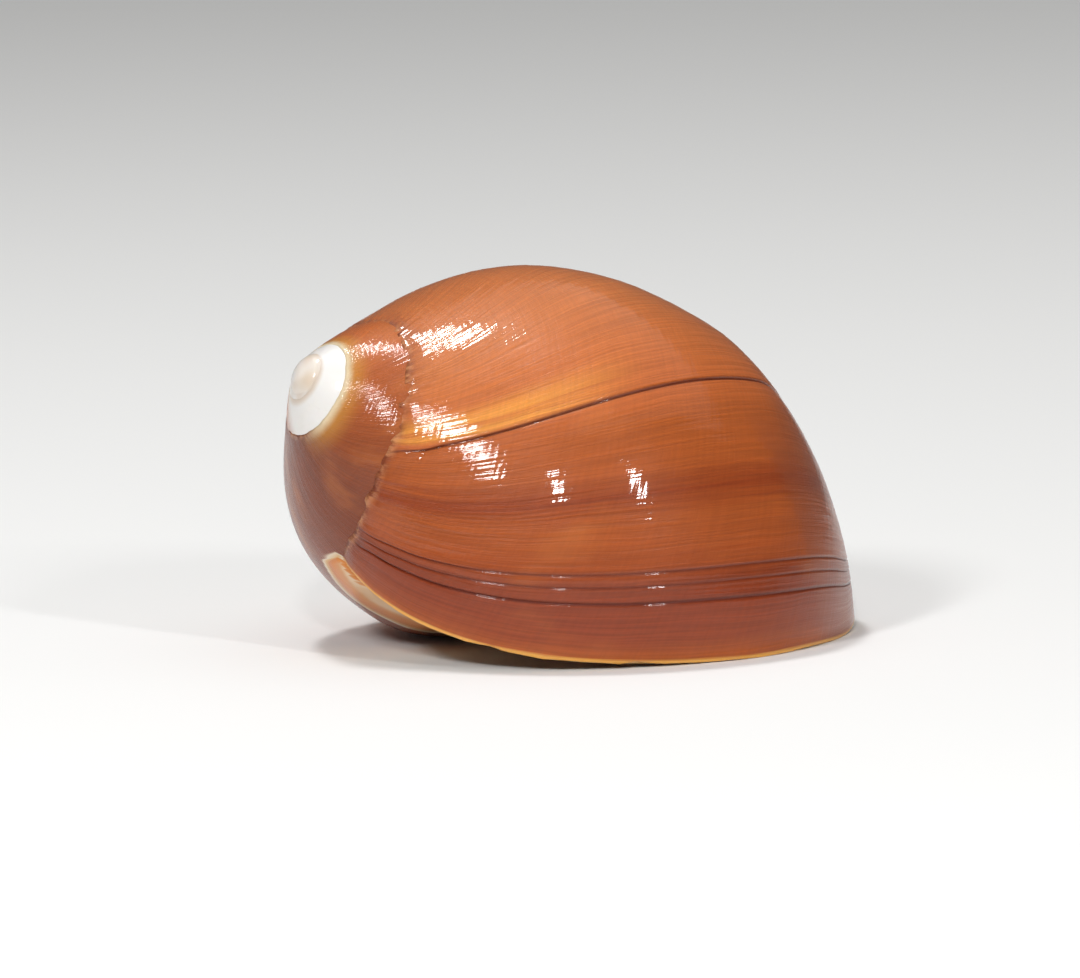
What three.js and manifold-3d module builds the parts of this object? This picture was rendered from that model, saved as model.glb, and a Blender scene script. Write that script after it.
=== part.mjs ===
// Moon snail shell, one grown piece.  Millimetres, +Z up, resting aperture-down on z = 0.
// The whole shell is one cross-section that turns round the coiling axis and grows as it turns.
import * as THREE from 'three';
import { mergeVertices } from 'three/addons/utils/BufferGeometryUtils.js';
import Module from 'manifold-3d';

const wasm = await Module();
wasm.setup();
const { Manifold, Mesh } = wasm;

// ---- driving dimensions: the coil --------------------------------------------------------
const GROWTH_PER_RADIAN = 0.1166;
const WHORLS = 3.4;
const HOLLOW_WHORLS = 2.4;
const LIP_BEARING = THREE.MathUtils.degToRad(9.04);
const AXIS_LEAN = THREE.MathUtils.degToRad(58.13);
const AXIS_HEADING = THREE.MathUtils.degToRad(-148.79);

// ---- driving dimensions: the cross-section at the lip, (radius from axis, height below apex)
const SUTURE = new THREE.Vector2(10.04, -8.45);
const SHOULDER_SLOPE = 0.719;
const SHOULDER_REACH = 12.74;
const PERIPHERY = new THREE.Vector2(30.41, -44.34);
const PERIPHERY_RISE = 22.42;
const PERIPHERY_FALL = 8.84;
const BASE = new THREE.Vector2(11.35, -69.59);
const BASE_OUT = 9.1;
const BASE_IN = 8.67;
const COLUMELLA_TOP = new THREE.Vector2(2.16, -30.9);
const COLUMELLA_RUN = 13.31;

// ---- driving dimensions: how the growth lines trail behind the suture, radians -----------
const LAG_AT_SUTURE = 0.508;
const LAG_AT_SUTURE_SPAN = 0.129;
const LAG_STEADY = 1.874;
const LAG_AT_BASE = 1.345;
const LAG_BASE_START = 0.494;
const LAG_BASE_SPAN = 0.519;

// ---- driving dimensions: the last part of the suture slides down the whorl before it -----
const SLIDE_SPAN = 1.6;
const SLIDE_RATE = 0.096;

// ---- driving dimensions: walls -------------------------------------------------------------
const WALL = 1.5;
const LIP_WALL = 0.75;
const LIP_TAPER = 0.5;
const CALLUS = 0.45;
const PARIETAL_GAP = 0.3;
const COLUMELLA_WALL = 2.0;
const MOUTH_OVERRUN = 0.06;
const MOUTH_ROOM = 7;
const MOUTH_ROOM_CENTRE = new THREE.Vector2(10.5, -35);
const MOUTH_BEARING = THREE.MathUtils.degToRad(80);

// ---- driving dimensions: the pillar that closes the umbilicus, the tip and the rest --------
const PILLAR_FLARE = 0.12;
const PILLAR_END = -34;
const PILLAR_TOP = -2.0;
const TIP_ROUNDING = 1.7;
const TIP_RADIUS = 1.8;
const TIP_TOP = -1.68;
const CONTACT_DEPTH = 0.12;
const FLATNESS = 0.03;

const WHORL_RATIO = Math.exp(GROWTH_PER_RADIAN * 2 * Math.PI);
const SHOULDER_STEPS = 14;
const BASE_STEPS = 9;
const COLUMELLA_STEPS = 8;
const TURN_STEPS = 36;
const EARLY_TURN_STEPS = 22;

// ---- the cross-section ---------------------------------------------------------------------
function shoulderFrom(start) {
  const reach = new THREE.Vector2(Math.cos(SHOULDER_SLOPE), -Math.sin(SHOULDER_SLOPE));
  return new THREE.CubicBezierCurve(
    start,
    start.clone().addScaledVector(reach, SHOULDER_REACH),
    new THREE.Vector2(PERIPHERY.x, PERIPHERY.y + PERIPHERY_RISE),
    PERIPHERY,
  );
}

const flank = new THREE.CubicBezierCurve(
  PERIPHERY,
  new THREE.Vector2(PERIPHERY.x, PERIPHERY.y - PERIPHERY_FALL),
  new THREE.Vector2(BASE.x + BASE_OUT, BASE.y),
  BASE,
);

const columella = new THREE.CubicBezierCurve(
  BASE,
  new THREE.Vector2(BASE.x - BASE_IN, BASE.y),
  new THREE.Vector2(COLUMELLA_TOP.x, COLUMELLA_TOP.y - COLUMELLA_RUN),
  COLUMELLA_TOP,
);

// Where the suture rests on the whorl before it, as a place along that whorl's shoulder.
const shoulder = shoulderFrom(SUTURE);
function nearestOnShoulder(point) {
  let best = 0;
  for (let i = 0; i <= 400; i += 1) {
    const here = shoulder.getPoint(i / 400).divideScalar(WHORL_RATIO);
    const there = shoulder.getPoint(best).divideScalar(WHORL_RATIO);
    if (here.distanceTo(point) < there.distanceTo(point)) {
      best = i / 400;
    }
  }
  return best;
}
const SUTURE_SEAT = nearestOnShoulder(SUTURE);

// Turn angles are radians of growth, 0 where the suture meets the lip and negative before it.
function slideAt(turn) {
  return SLIDE_RATE * Math.max(0, turn + SLIDE_SPAN) ** 2;
}

function sutureAt(turn) {
  const seat = shoulder.getPoint(SUTURE_SEAT + slideAt(turn)).sub(shoulder.getPoint(SUTURE_SEAT));
  return SUTURE.clone().addScaledVector(seat, 1 / WHORL_RATIO);
}

// The section as sample places: which arc, and how far along it.
const samples = [];
for (let i = 0; i < SHOULDER_STEPS; i += 1) {
  samples.push({ arc: 'shoulder', t: i / SHOULDER_STEPS });
}
for (let i = 0; i < BASE_STEPS; i += 1) {
  samples.push({ arc: 'flank', t: i / BASE_STEPS });
}
for (let i = 0; i <= COLUMELLA_STEPS; i += 1) {
  samples.push({ arc: 'columella', t: i / COLUMELLA_STEPS });
}

function curveOf(sample, turn) {
  if (sample.arc === 'shoulder') {
    return shoulderFrom(sutureAt(turn));
  }
  return sample.arc === 'flank' ? flank : columella;
}

// Share of the section's length at each sample, from the suture to the top of the columella.
const lengths = [0];
for (let i = 1; i < samples.length; i += 1) {
  const a = curveOf(samples[i - 1], -9).getPoint(samples[i - 1].t);
  const b = curveOf(samples[i], -9).getPoint(samples[i].t);
  lengths.push(lengths[i - 1] + a.distanceTo(b));
}
samples.forEach((sample, i) => {
  sample.share = lengths[i] / lengths[lengths.length - 1];
  sample.lag = lagAt(sample.share);
});

function lagAt(share) {
  const near = LAG_AT_SUTURE * (1 - Math.exp(-share / LAG_AT_SUTURE_SPAN));
  const base = THREE.MathUtils.smoothstep(share, LAG_BASE_START, LAG_BASE_START + LAG_BASE_SPAN);
  return -(near + LAG_STEADY * share + LAG_AT_BASE * base);
}

// A place on the section at one turn angle, moved inward by the wall.
function sectionPoint(sample, turn, inset) {
  const curve = curveOf(sample, turn);
  const point = curve.getPoint(sample.t);
  const tangent = curve.getTangent(sample.t);
  return point.add(new THREE.Vector2(tangent.y, -tangent.x).multiplyScalar(inset));
}

// From (radius, height) at a turn angle to space; size falls away before the lip.
// The cone of whorls is blunted near its point, most of all in the first turns.
function place(flat, turn) {
  const size = Math.exp(GROWTH_PER_RADIAN * turn);
  const bearing = LIP_BEARING - turn;
  return new THREE.Vector3(
    flat.x * size * Math.cos(bearing),
    flat.x * size * Math.sin(bearing),
    -Math.hypot(flat.y * size, TIP_ROUNDING),
  );
}

// ---- closed bodies from rings ----------------------------------------------------------------
function bodyFromRings(rings) {
  const count = rings[0].length;
  const corners = rings.flat();
  const triangles = [];
  for (let r = 0; r + 1 < rings.length; r += 1) {
    for (let i = 0; i < count; i += 1) {
      const a = r * count + i;
      const b = r * count + ((i + 1) % count);
      triangles.push(a, b + count, b, a, a + count, b + count);
    }
  }
  for (const end of [0, rings.length - 1]) {
    const hub = corners.length;
    const middle = new THREE.Vector3();
    rings[end].forEach((corner) => middle.addScaledVector(corner, 1 / count));
    corners.push(middle);
    for (let i = 0; i < count; i += 1) {
      const a = end * count + i;
      const b = end * count + ((i + 1) % count);
      triangles.push(...(end === 0 ? [hub, a, b] : [hub, b, a]));
    }
  }
  return new Manifold(new Mesh({
    numProp: 3,
    vertProperties: new Float32Array(corners.flatMap((corner) => corner.toArray())),
    triVerts: new Uint32Array(triangles),
  }));
}

function bodyFromGeometry(geometry) {
  const welded = mergeVertices(geometry.deleteAttribute('uv').deleteAttribute('normal'), 1e-5);
  return new Manifold(new Mesh({
    numProp: 3,
    vertProperties: new Float32Array(welded.attributes.position.array),
    triVerts: new Uint32Array(welded.index.array),
  }));
}

function range(from, to, steps) {
  return Array.from({ length: steps + 1 }, (_, i) => from + ((to - from) * i) / steps);
}

// ---- the solid whorls ------------------------------------------------------------------------
// Every ring is the section closed through the pillar and the whorls inside it.
function whorlRing(turnOf) {
  const ring = samples.map((sample) => {
    const turn = turnOf(sample.lag);
    return place(sectionPoint(sample, turn, 0), turn);
  });
  const last = turnOf(samples[samples.length - 1].lag);
  const first = turnOf(0);
  ring.push(place(new THREE.Vector2(1.0, COLUMELLA_TOP.y), last));
  ring.push(place(new THREE.Vector2(0.7, COLUMELLA_TOP.y * 0.6), last));
  ring.push(place(sutureAt(first).multiply(new THREE.Vector2(0.6, 1.1)), first));
  return ring;
}

// The lip slants, so the last piece starts flat behind it and fans out to the lip line.
const FAN_START = samples[samples.length - 1].lag - 0.05;
const fanSteps = Math.round((TURN_STEPS * -FAN_START) / (2 * Math.PI));
function fanTurn(share) {
  return (lag) => FAN_START + share * (lag - FAN_START);
}

const PIECE = Math.PI * 0.8;
function stepsBetween(from, to) {
  const perTurn = to > -2.2 * Math.PI ? TURN_STEPS : EARLY_TURN_STEPS;
  return Math.max(1, Math.round((perTurn * (to - from)) / (2 * Math.PI)));
}
const whorls = [bodyFromRings(range(0, 1, fanSteps).map((share) => whorlRing(fanTurn(share))))];
for (let end = FAN_START; end > -2 * Math.PI * WHORLS; end -= PIECE) {
  const turns = range(end - PIECE, end, stepsBetween(end - PIECE, end));
  whorls.push(bodyFromRings(turns.map((turn) => whorlRing(() => turn))));
}

// The pillar on the axis and the rounded tip of the first whorl.
const pillarEnd = -PILLAR_END * PILLAR_FLARE;
const pillarOutline = [
  new THREE.Vector2(0, PILLAR_TOP),
  new THREE.Vector2(pillarEnd, PILLAR_END),
  new THREE.Vector2(pillarEnd * 0.95, PILLAR_END - pillarEnd * 0.6),
  new THREE.Vector2(pillarEnd * 0.7, PILLAR_END - pillarEnd * 1.2),
  new THREE.Vector2(pillarEnd * 0.35, PILLAR_END - pillarEnd * 1.6),
  new THREE.Vector2(0, PILLAR_END - pillarEnd * 1.75),
];
const pillar = bodyFromGeometry(
  new THREE.LatheGeometry(pillarOutline.reverse(), 24).rotateX(Math.PI / 2),
);
const tip = bodyFromGeometry(
  new THREE.SphereGeometry(TIP_RADIUS, 12, 8).translate(0, 0, TIP_TOP - TIP_RADIUS),
);

// ---- the hollow ------------------------------------------------------------------------------
// Outside: the section moved in by the wall, thinner at the lip.  Inside: the whorl before it
// under a skin of callus, joined to the columella by a rounded corner.
function wallAt(behindLip, share) {
  const thin = LIP_WALL + (WALL - LIP_WALL) * THREE.MathUtils.smoothstep(behindLip, 0, LIP_TAPER);
  return thin + COLUMELLA_WALL * THREE.MathUtils.smoothstep(share, 0.66, 0.9);
}

const outerSide = samples.filter((sample) => (
  sample.share > 0.1 && !(sample.arc === 'columella' && sample.t > 0.8)
));
const CORNER_STEPS = 4;
const PARIETAL_STEPS = 4;
const PARIETAL_LAG = -0.15;
const CORNER_LAG = -1.1;

// The wall of the whorl before, from its base up to just under the suture.
function parietalSide(turn) {
  const top = SUTURE_SEAT + slideAt(turn) + PARIETAL_GAP;
  const steps = range(1, 0, PARIETAL_STEPS);
  return [
    { arc: 'columella', t: 0 },
    ...steps.slice(1).map((t) => ({ arc: 'flank', t })),
    ...steps.slice(1).map((t) => ({ arc: 'shoulder', t: THREE.MathUtils.lerp(top, 1, t) })),
  ].map((sample) => (
    sectionPoint(sample, turn - 2 * Math.PI, -CALLUS * WHORL_RATIO).divideScalar(WHORL_RATIO)
  ));
}

function hollowRing(turnOf) {
  const ring = outerSide.map((sample) => {
    const turn = turnOf(sample.lag);
    return place(sectionPoint(sample, turn, wallAt(sample.lag - turn, sample.share)), turn);
  });
  const columellaSample = outerSide[outerSide.length - 1];
  const parietal = parietalSide(turnOf(PARIETAL_LAG));
  const from = sectionPoint(columellaSample, FAN_START, wallAt(LIP_TAPER, columellaSample.share));
  const bend = new THREE.Vector2(from.x + 0.2, parietal[0].y - 1.2);
  const corner = new THREE.QuadraticBezierCurve(from, bend, parietal[0]);
  for (let i = 1; i < CORNER_STEPS; i += 1) {
    const share = i / CORNER_STEPS;
    const lag = THREE.MathUtils.lerp(columellaSample.lag, CORNER_LAG, share);
    ring.push(place(corner.getPoint(share), turnOf(lag)));
  }
  parietal.forEach((flat, i) => {
    const lag = THREE.MathUtils.lerp(CORNER_LAG, PARIETAL_LAG, Math.min(1, i / PARIETAL_STEPS));
    ring.push(place(flat, turnOf(lag)));
  });
  return ring;
}

const deepEnd = -2 * Math.PI * HOLLOW_WHORLS;
const deepMiddle = FAN_START - Math.PI;
const deepSteps = Math.round((EARLY_TURN_STEPS * (deepMiddle - deepEnd)) / (2 * Math.PI));
const deepTurns = [
  ...range(deepEnd, deepMiddle, deepSteps).slice(0, -1),
  ...range(deepMiddle, FAN_START, stepsBetween(deepMiddle, FAN_START)),
  FAN_START + MOUTH_OVERRUN,
];
const deepHollow = bodyFromRings(deepTurns.map((turn) => hollowRing(() => turn)));
const mouthHollow = bodyFromRings([
  ...range(0, 1, fanSteps).map((share) => hollowRing(fanTurn(share))),
  hollowRing((lag) => lag + MOUTH_OVERRUN),
]);

// The open room in front of the pillar, where the lip line wraps round it.
const mouthRoom = bodyFromGeometry(new THREE.SphereGeometry(MOUTH_ROOM, 20, 14).translate(
  MOUTH_ROOM_CENTRE.x * Math.cos(MOUTH_BEARING),
  MOUTH_ROOM_CENTRE.x * Math.sin(MOUTH_BEARING),
  MOUTH_ROOM_CENTRE.y,
));

// ---- one solid, set down on its lip and belly --------------------------------------------------
function largest(body) {
  return body.decompose().sort((a, b) => b.volume() - a.volume())[0];
}

const [lipWhorl, ...innerWhorls] = whorls;
const inner = largest(Manifold.union([...innerWhorls, pillar, tip]));
const outer = largest(Manifold.union([lipWhorl, inner]));
const grown = outer.subtract(mouthHollow.add(mouthRoom)).add(inner).subtract(deepHollow);
const pose = new THREE.Matrix4()
  .makeRotationZ(AXIS_HEADING)
  .multiply(new THREE.Matrix4().makeRotationY(AXIS_LEAN));
const lying = grown.transform(pose.elements);
const ground = lying.boundingBox().min[2] + CONTACT_DEPTH;
const solid = largest(lying.trimByPlane([0, 0, 1], ground).simplify(FLATNESS));

const mesh = solid.getMesh();
const geometry = new THREE.BufferGeometry();
geometry.setAttribute('position', new THREE.BufferAttribute(mesh.vertProperties, 3));
geometry.setIndex(new THREE.BufferAttribute(mesh.triVerts, 1));
geometry.computeBoundingBox();
const box = geometry.boundingBox;
geometry.translate(-(box.min.x + box.max.x) / 2, -(box.min.y + box.max.y) / 2, -box.min.z);
geometry.computeVertexNormals();

const shell = new THREE.Mesh(
  geometry,
  new THREE.MeshStandardMaterial({ color: 0xb5652f, roughness: 0.25, metalness: 0 }),
);
shell.name = 'shell';
const part = new THREE.Group();
part.name = 'moon_snail_shell';
part.add(shell);
export default part;
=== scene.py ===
"""Moon snail shell: the looks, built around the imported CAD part.

The shell is one section turned round the coiling axis while it grows.  A place on it is given by
growth, the turn angle of its growth line (0 at the lip, negative before it), and share, how far
along the section it is, from the suture (0) to the top of the columella (1).

Angles are radians.  Lengths are millimetres in the coil's own frame, with its apex at the origin
and its axis along Z, until seated() turns them into metres.
"""

import math
from collections import namedtuple

import bpy
import numpy as np
from mathutils import Matrix, Vector


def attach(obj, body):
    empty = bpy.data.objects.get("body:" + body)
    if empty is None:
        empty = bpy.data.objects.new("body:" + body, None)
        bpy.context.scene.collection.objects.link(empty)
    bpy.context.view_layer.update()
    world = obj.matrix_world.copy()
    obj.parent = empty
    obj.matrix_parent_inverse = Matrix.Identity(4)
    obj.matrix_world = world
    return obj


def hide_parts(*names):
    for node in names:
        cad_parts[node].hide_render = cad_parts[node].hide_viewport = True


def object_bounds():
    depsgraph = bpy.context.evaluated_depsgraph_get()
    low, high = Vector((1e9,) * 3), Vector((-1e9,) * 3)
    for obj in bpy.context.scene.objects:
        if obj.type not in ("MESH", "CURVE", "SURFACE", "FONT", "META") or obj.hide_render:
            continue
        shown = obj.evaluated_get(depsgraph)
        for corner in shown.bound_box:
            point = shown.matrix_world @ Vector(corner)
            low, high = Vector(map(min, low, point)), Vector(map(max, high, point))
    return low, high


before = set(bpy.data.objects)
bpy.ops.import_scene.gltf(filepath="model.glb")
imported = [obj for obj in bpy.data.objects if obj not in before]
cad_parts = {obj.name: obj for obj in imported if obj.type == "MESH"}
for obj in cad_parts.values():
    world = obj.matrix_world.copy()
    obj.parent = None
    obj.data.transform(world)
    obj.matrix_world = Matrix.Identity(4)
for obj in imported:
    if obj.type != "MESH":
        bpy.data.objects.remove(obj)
CAD_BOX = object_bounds()

# ---- the coil and its section at the lip, as in the CAD part ----------------------------------
GROWTH = 0.1166
WHORLS = 3.4
LIP_BEARING = math.radians(9.04)
AXIS_LEAN = math.radians(58.13)
AXIS_HEADING = math.radians(-148.79)
SUTURE = np.array((10.04, -8.45))
SHOULDER_SLOPE = 0.719
SHOULDER_REACH = 12.74
PERIPHERY = np.array((30.41, -44.34))
PERIPHERY_RISE = 22.42
PERIPHERY_FALL = 8.84
BASE = np.array((11.35, -69.59))
BASE_OUT = 9.1
BASE_IN = 8.67
COLUMELLA_TOP = np.array((2.16, -30.9))
COLUMELLA_RUN = 13.31
LAG_AT_SUTURE = 0.508
LAG_AT_SUTURE_SPAN = 0.129
LAG_STEADY = 1.874
LAG_AT_BASE = 1.345
LAG_BASE_START = 0.494
LAG_BASE_SPAN = 0.519
SLIDE_SPAN = 1.6
SLIDE_RATE = 0.096
TIP_ROUNDING = 1.7
WHORL_RATIO = math.exp(GROWTH * 2 * math.pi)
SEAT_SEARCH_POINTS = 401
CURVE_POINTS = 400


def smoothstep(x, low, high):
    t = np.clip((x - low) / (high - low), 0, 1)
    return t * t * (3 - 2 * t)


def hump(x, centre, width):
    """1 at the centre, falling off to 0 on both sides."""
    return np.exp(-(((x - centre) / width) ** 2))


def bezier(p0, p1, p2, p3, t):
    """Points and unit tangents of a cubic curve."""
    t = np.asarray(t)[..., None]
    m = 1 - t
    point = m**3 * p0 + 3 * m**2 * t * p1 + 3 * m * t**2 * p2 + t**3 * p3
    tangent = m**2 * (p1 - p0) + 2 * m * t * (p2 - p1) + t**2 * (p3 - p2)
    return point, tangent / np.linalg.norm(tangent, axis=-1, keepdims=True)


def shoulder_from(start, t):
    reach = np.array((math.cos(SHOULDER_SLOPE), -math.sin(SHOULDER_SLOPE))) * SHOULDER_REACH
    return bezier(start, start + reach, PERIPHERY + (0, PERIPHERY_RISE), PERIPHERY, t)


def flank(t):
    return bezier(PERIPHERY, PERIPHERY - (0, PERIPHERY_FALL), BASE + (BASE_OUT, 0), BASE, t)


def columella(t):
    return bezier(BASE, BASE - (BASE_IN, 0), COLUMELLA_TOP - (0, COLUMELLA_RUN), COLUMELLA_TOP, t)


def suture_seat():
    """Where the suture lies on the shoulder of the whorl before, as a place from 0 to 1."""
    t = np.linspace(0, 1, SEAT_SEARCH_POINTS)
    gap = np.linalg.norm(shoulder_from(SUTURE, t)[0] / WHORL_RATIO - SUTURE, axis=1)
    return t[gap.argmin()]


def outline_tables():
    """Places on the shoulder (0 to 1), flank (1 to 2) and columella (2 to 3), and their shares."""
    t = np.linspace(0, 1, CURVE_POINTS)
    outline = np.concatenate([shoulder_from(SUTURE, t)[0], flank(t)[0], columella(t)[0]])
    length = np.concatenate([[0], np.cumsum(np.linalg.norm(np.diff(outline, axis=0), axis=1))])
    return np.concatenate([t, 1 + t, 2 + t]), length / length[-1]


SUTURE_SEAT = suture_seat()
CURVE_PLACES, CURVE_SHARES = outline_tables()


def share_on_shoulder(t):
    return np.interp(t, CURVE_PLACES[:CURVE_POINTS], CURVE_SHARES[:CURVE_POINTS])


def lag_at(share):
    """How far the growth line trails behind its start at the suture; the sign makes it a turn."""
    near = LAG_AT_SUTURE * (1 - np.exp(-share / LAG_AT_SUTURE_SPAN))
    base = smoothstep(share, LAG_BASE_START, LAG_BASE_START + LAG_BASE_SPAN)
    return -(near + LAG_STEADY * share + LAG_AT_BASE * base)


def slide_at(turn):
    """How far down the shoulder before it the suture slides towards the lip."""
    return SLIDE_RATE * np.maximum(0, turn + SLIDE_SPAN) ** 2


def section(share, turn, wiggle):
    """Points and tangents of the section (radius, height) at its size at the lip."""
    share, turn = np.broadcast_arrays(share, turn)
    curve = np.interp(share, CURVE_SHARES, CURVE_PLACES)
    seat = shoulder_from(SUTURE, SUTURE_SEAT + slide_at(turn) + wiggle)[0]
    start = SUTURE + (seat - shoulder_from(SUTURE, SUTURE_SEAT)[0]) / WHORL_RATIO
    on_shoulder = shoulder_from(start, np.clip(curve, 0, 1))
    on_flank = flank(np.clip(curve - 1, 0, 1))
    on_columella = columella(np.clip(curve - 2, 0, 1))
    which = (curve > 1).astype(int) + (curve > 2)
    point = np.choose(which[..., None], [on_shoulder[0], on_flank[0], on_columella[0]])
    tangent = np.choose(which[..., None], [on_shoulder[1], on_flank[1], on_columella[1]])
    return point, tangent


def place(flat, turn):
    """Points of the section, turned and sized to their turn; the tip is blunted."""
    size = np.exp(GROWTH * turn)
    bearing = LIP_BEARING - turn
    return np.stack((flat[..., 0] * size * np.cos(bearing),
                     flat[..., 0] * size * np.sin(bearing),
                     -np.hypot(flat[..., 1] * size, TIP_ROUNDING)), -1)


def resting_turn():
    """The rotation that lays the coil down in its resting pose."""
    c, s = math.cos(AXIS_LEAN), math.sin(AXIS_LEAN)
    lean = np.array([[c, 0, s], [0, 1, 0], [-s, 0, c]])
    c, s = math.cos(AXIS_HEADING), math.sin(AXIS_HEADING)
    heading = np.array([[c, -s, 0], [s, c, 0], [0, 0, 1]])
    return heading @ lean


# ---- growth stops, ripples and the worn suture --------------------------------------------------
# bend is towards the suture, half_width in radians of growth, depth and step in millimetres
GrowthStop = namedtuple("GrowthStop", "growth bend half_width depth step darkness")
GROWTH_STOPS = (
    GrowthStop(-1.088, 0.09, 0.0065, 0.30, 0.16, 1.0),
    GrowthStop(-0.338, 0.02, 0.0045, 0.13, 0.03, 0.75),
    GrowthStop(-0.287, 0.02, 0.0045, 0.12, 0.02, 0.65),
    GrowthStop(-0.224, 0.01, 0.0055, 0.17, 0.06, 0.9),
)
STOP_BEND_SPAN = 0.05
STOP_START_SPAN = 0.04
STOP_FADE_SPAN = 0.9
STEP_FADE = 0.22
CREASE_WIDENING = 1.3

# sums of sine waves; low and high are their lowest and highest frequencies
Ripples = namedtuple("Ripples", "low high count seed")
FINE_RIPPLES = Ripples(24, 110, 9, 3)
BROAD_RIPPLES = Ripples(5, 16, 5, 4)
SPIRAL_RIPPLES = Ripples(12, 30, 6, 5)
WELT_RIPPLES = Ripples(14, 90, 12, 6)
LIP_RIPPLES = Ripples(40, 260, 9, 7)
SUTURE_RIPPLES = Ripples(5, 34, 8, 8)
CORD_RIPPLES = Ripples(9, 70, 9, 9)
RIPPLE_SCALE = 0.6

FINE_HEIGHT = 0.022
FINE_START = (0.01, 0.08)
FINE_WANDER = 0.01
FINE_WANDER_RATE = 9
BROAD_HEIGHT = 0.05
SPIRAL_HEIGHT = 0.012
SPIRAL_STRETCH = 6.3
# the raised welt beside the suture, and the sunken cord on the suture itself
WELT_SHARE = 0.014
WELT_WIDTH = 0.014
WELT_HEIGHT = 0.03
WELT_ROUGHNESS = 0.08
WELT_ROUGH_FROM = (-6.8, -4.8)
CORD_SHARE = 0.003
CORD_WIDTH = 0.007
CORD_HEIGHT = -0.10
CORD_ROUGHNESS = 0.05
CORD_FROM = (-7, -4.8)


def ripple_sum(x, ripples):
    """A sum of sine waves, between about -1 and 1."""
    draw = np.random.default_rng(ripples.seed)
    total = 0
    for frequency in np.geomspace(ripples.low, ripples.high, ripples.count):
        total = total + np.sin(frequency * x + draw.uniform(0, 2 * math.pi)) * draw.uniform(0.5, 1)
    return total / (RIPPLE_SCALE * ripples.count)


def stop_place(stop, share):
    return stop.growth + stop.bend * np.exp(-share / STOP_BEND_SPAN)


def crease_mask(growth, share):
    """How dark the growth stops are, from 0 to 1."""
    mask = 0
    for stop in GROWTH_STOPS:
        crease = hump(growth, stop_place(stop, share), CREASE_WIDENING * stop.half_width)
        mask = np.maximum(mask, stop.darkness * crease)
    return mask


def relief(growth, share):
    """Height of the outer surface above the smooth section."""
    height = 0
    fade = np.exp(-share / STOP_FADE_SPAN) * smoothstep(share, 0, STOP_START_SPAN)
    for stop in GROWTH_STOPS:
        away = growth - stop_place(stop, share)
        after = np.where(away > 0, np.exp(-np.maximum(away, 0) / STEP_FADE), 0)
        height = height - stop.depth * fade * hump(away, 0, stop.half_width) - stop.step * fade * after
    wander = growth + FINE_WANDER * np.sin(FINE_WANDER_RATE * share)
    height = height + FINE_HEIGHT * ripple_sum(wander, FINE_RIPPLES) * smoothstep(share, *FINE_START)
    height = height + BROAD_HEIGHT * ripple_sum(growth, BROAD_RIPPLES)
    height = height + SPIRAL_HEIGHT * ripple_sum(share * SPIRAL_STRETCH, SPIRAL_RIPPLES)
    welt = hump(share, WELT_SHARE, WELT_WIDTH)
    rough = ripple_sum(growth, WELT_RIPPLES) * smoothstep(growth, *WELT_ROUGH_FROM)
    height = height + welt * (WELT_HEIGHT + WELT_ROUGHNESS * rough)
    cord = hump(share, CORD_SHARE, CORD_WIDTH) * smoothstep(growth, *CORD_FROM)
    return height + cord * (CORD_HEIGHT + CORD_ROUGHNESS * ripple_sum(growth, CORD_RIPPLES))


# ---- the wall as one closed sheet ---------------------------------------------------------------
WALL = 1.5
LIP_WALL = 0.75
LIP_TAPER = 0.5
COLUMELLA_WALL = 2.0
COLUMELLA_WALL_SPAN = (0.66, 0.9)
SUTURE_WALL = 0.35
SUTURE_WALL_SPAN = 0.06
CALLUS = 0.45
CONTACT_DEPTH = 0.12

# rows of the sheet as (from, to, count) in growth, closer together where the photo shows more
ROW_RUNS = (
    (-2 * math.pi * WHORLS, -13.2, 100),
    (-13.2, -6.9, 120),
    (-6.9, -3.6, 110),
    (-3.6, 0, 300),
)
STOP_ROWS = 19
STOP_ROWS_REACH = 0.022
STOP_ROWS_BEND = 0.4
LEAST_ROW_GAP = 0.0022
# columns as (from, to, count) in share; each run but the last stops short of its end
COLUMN_RUNS = (
    (0, 0.05, 13),
    (0.05, 0.22, 16),
    (0.22, 0.72, 42),
    (0.72, 1, 20),
)
INNER_STRIDE = 3

# the lip line: chips as (share, width, depth), all set back a little from the CAD part's lip
LIP_CHIPS = (
    (0.284, 0.006, 0.016),
    (0.165, 0.010, 0.008),
)
LIP_WAVES = 0.0035
LIP_SETBACK = 0.010
LIP_LINE_SPAN = 0.10
LIP_ROUNDING = 5
LIP_EDGE_GROWTH = 0.012
LIP_EDGE_REACH = 0.6
# the small bead on the lip, between the two chips
BEAD_SHARE = 0.213
BEAD_SHARE_WIDTH = 0.006
BEAD_GROWTH = -0.012
BEAD_GROWTH_WIDTH = 0.012
BEAD_HEIGHT = 0.22

# how far the suture sways along the shoulder, with more sway on the last whorl
SWAY = 0.008
SWAY_LATE = 0.022
SWAY_LATE_FROM = (-2.2, -0.9)
SWAY_LATE_TO = (0, -0.3)
SWAY_SPAN = 0.05

# the glaze over the whorl before, below the mouth
CALLUS_SHARE_START = 0.15
CALLUS_SHARE_END = 0.8
CALLUS_TOP_TURN = 0.28
CALLUS_FALL = 1.05
CALLUS_WAVE = 0.03
CALLUS_WAVE_RATE = 30
CALLUS_START = (-0.004, 0.012)
CALLUS_BEHIND_LIP = (0.04, 0.07)
CALLUS_EDGE = (-0.02, 0.30)

# the start of the sheet closes towards the heart of the section
HEART = np.array((14.0, -34.0))
NO_LENGTH = 1e-9
CLOSE_SPAN = 0.5
CLOSED_SIZE = 0.03
SPIRE_RELIEF_POWER = 0.7
COLUMELLA_SMOOTHING = 0.6
COLUMELLA_SMOOTHING_SPAN = (0.7, 0.95)

ATTRIBUTES = ("growth", "share", "inner", "callus", "crease")


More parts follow.
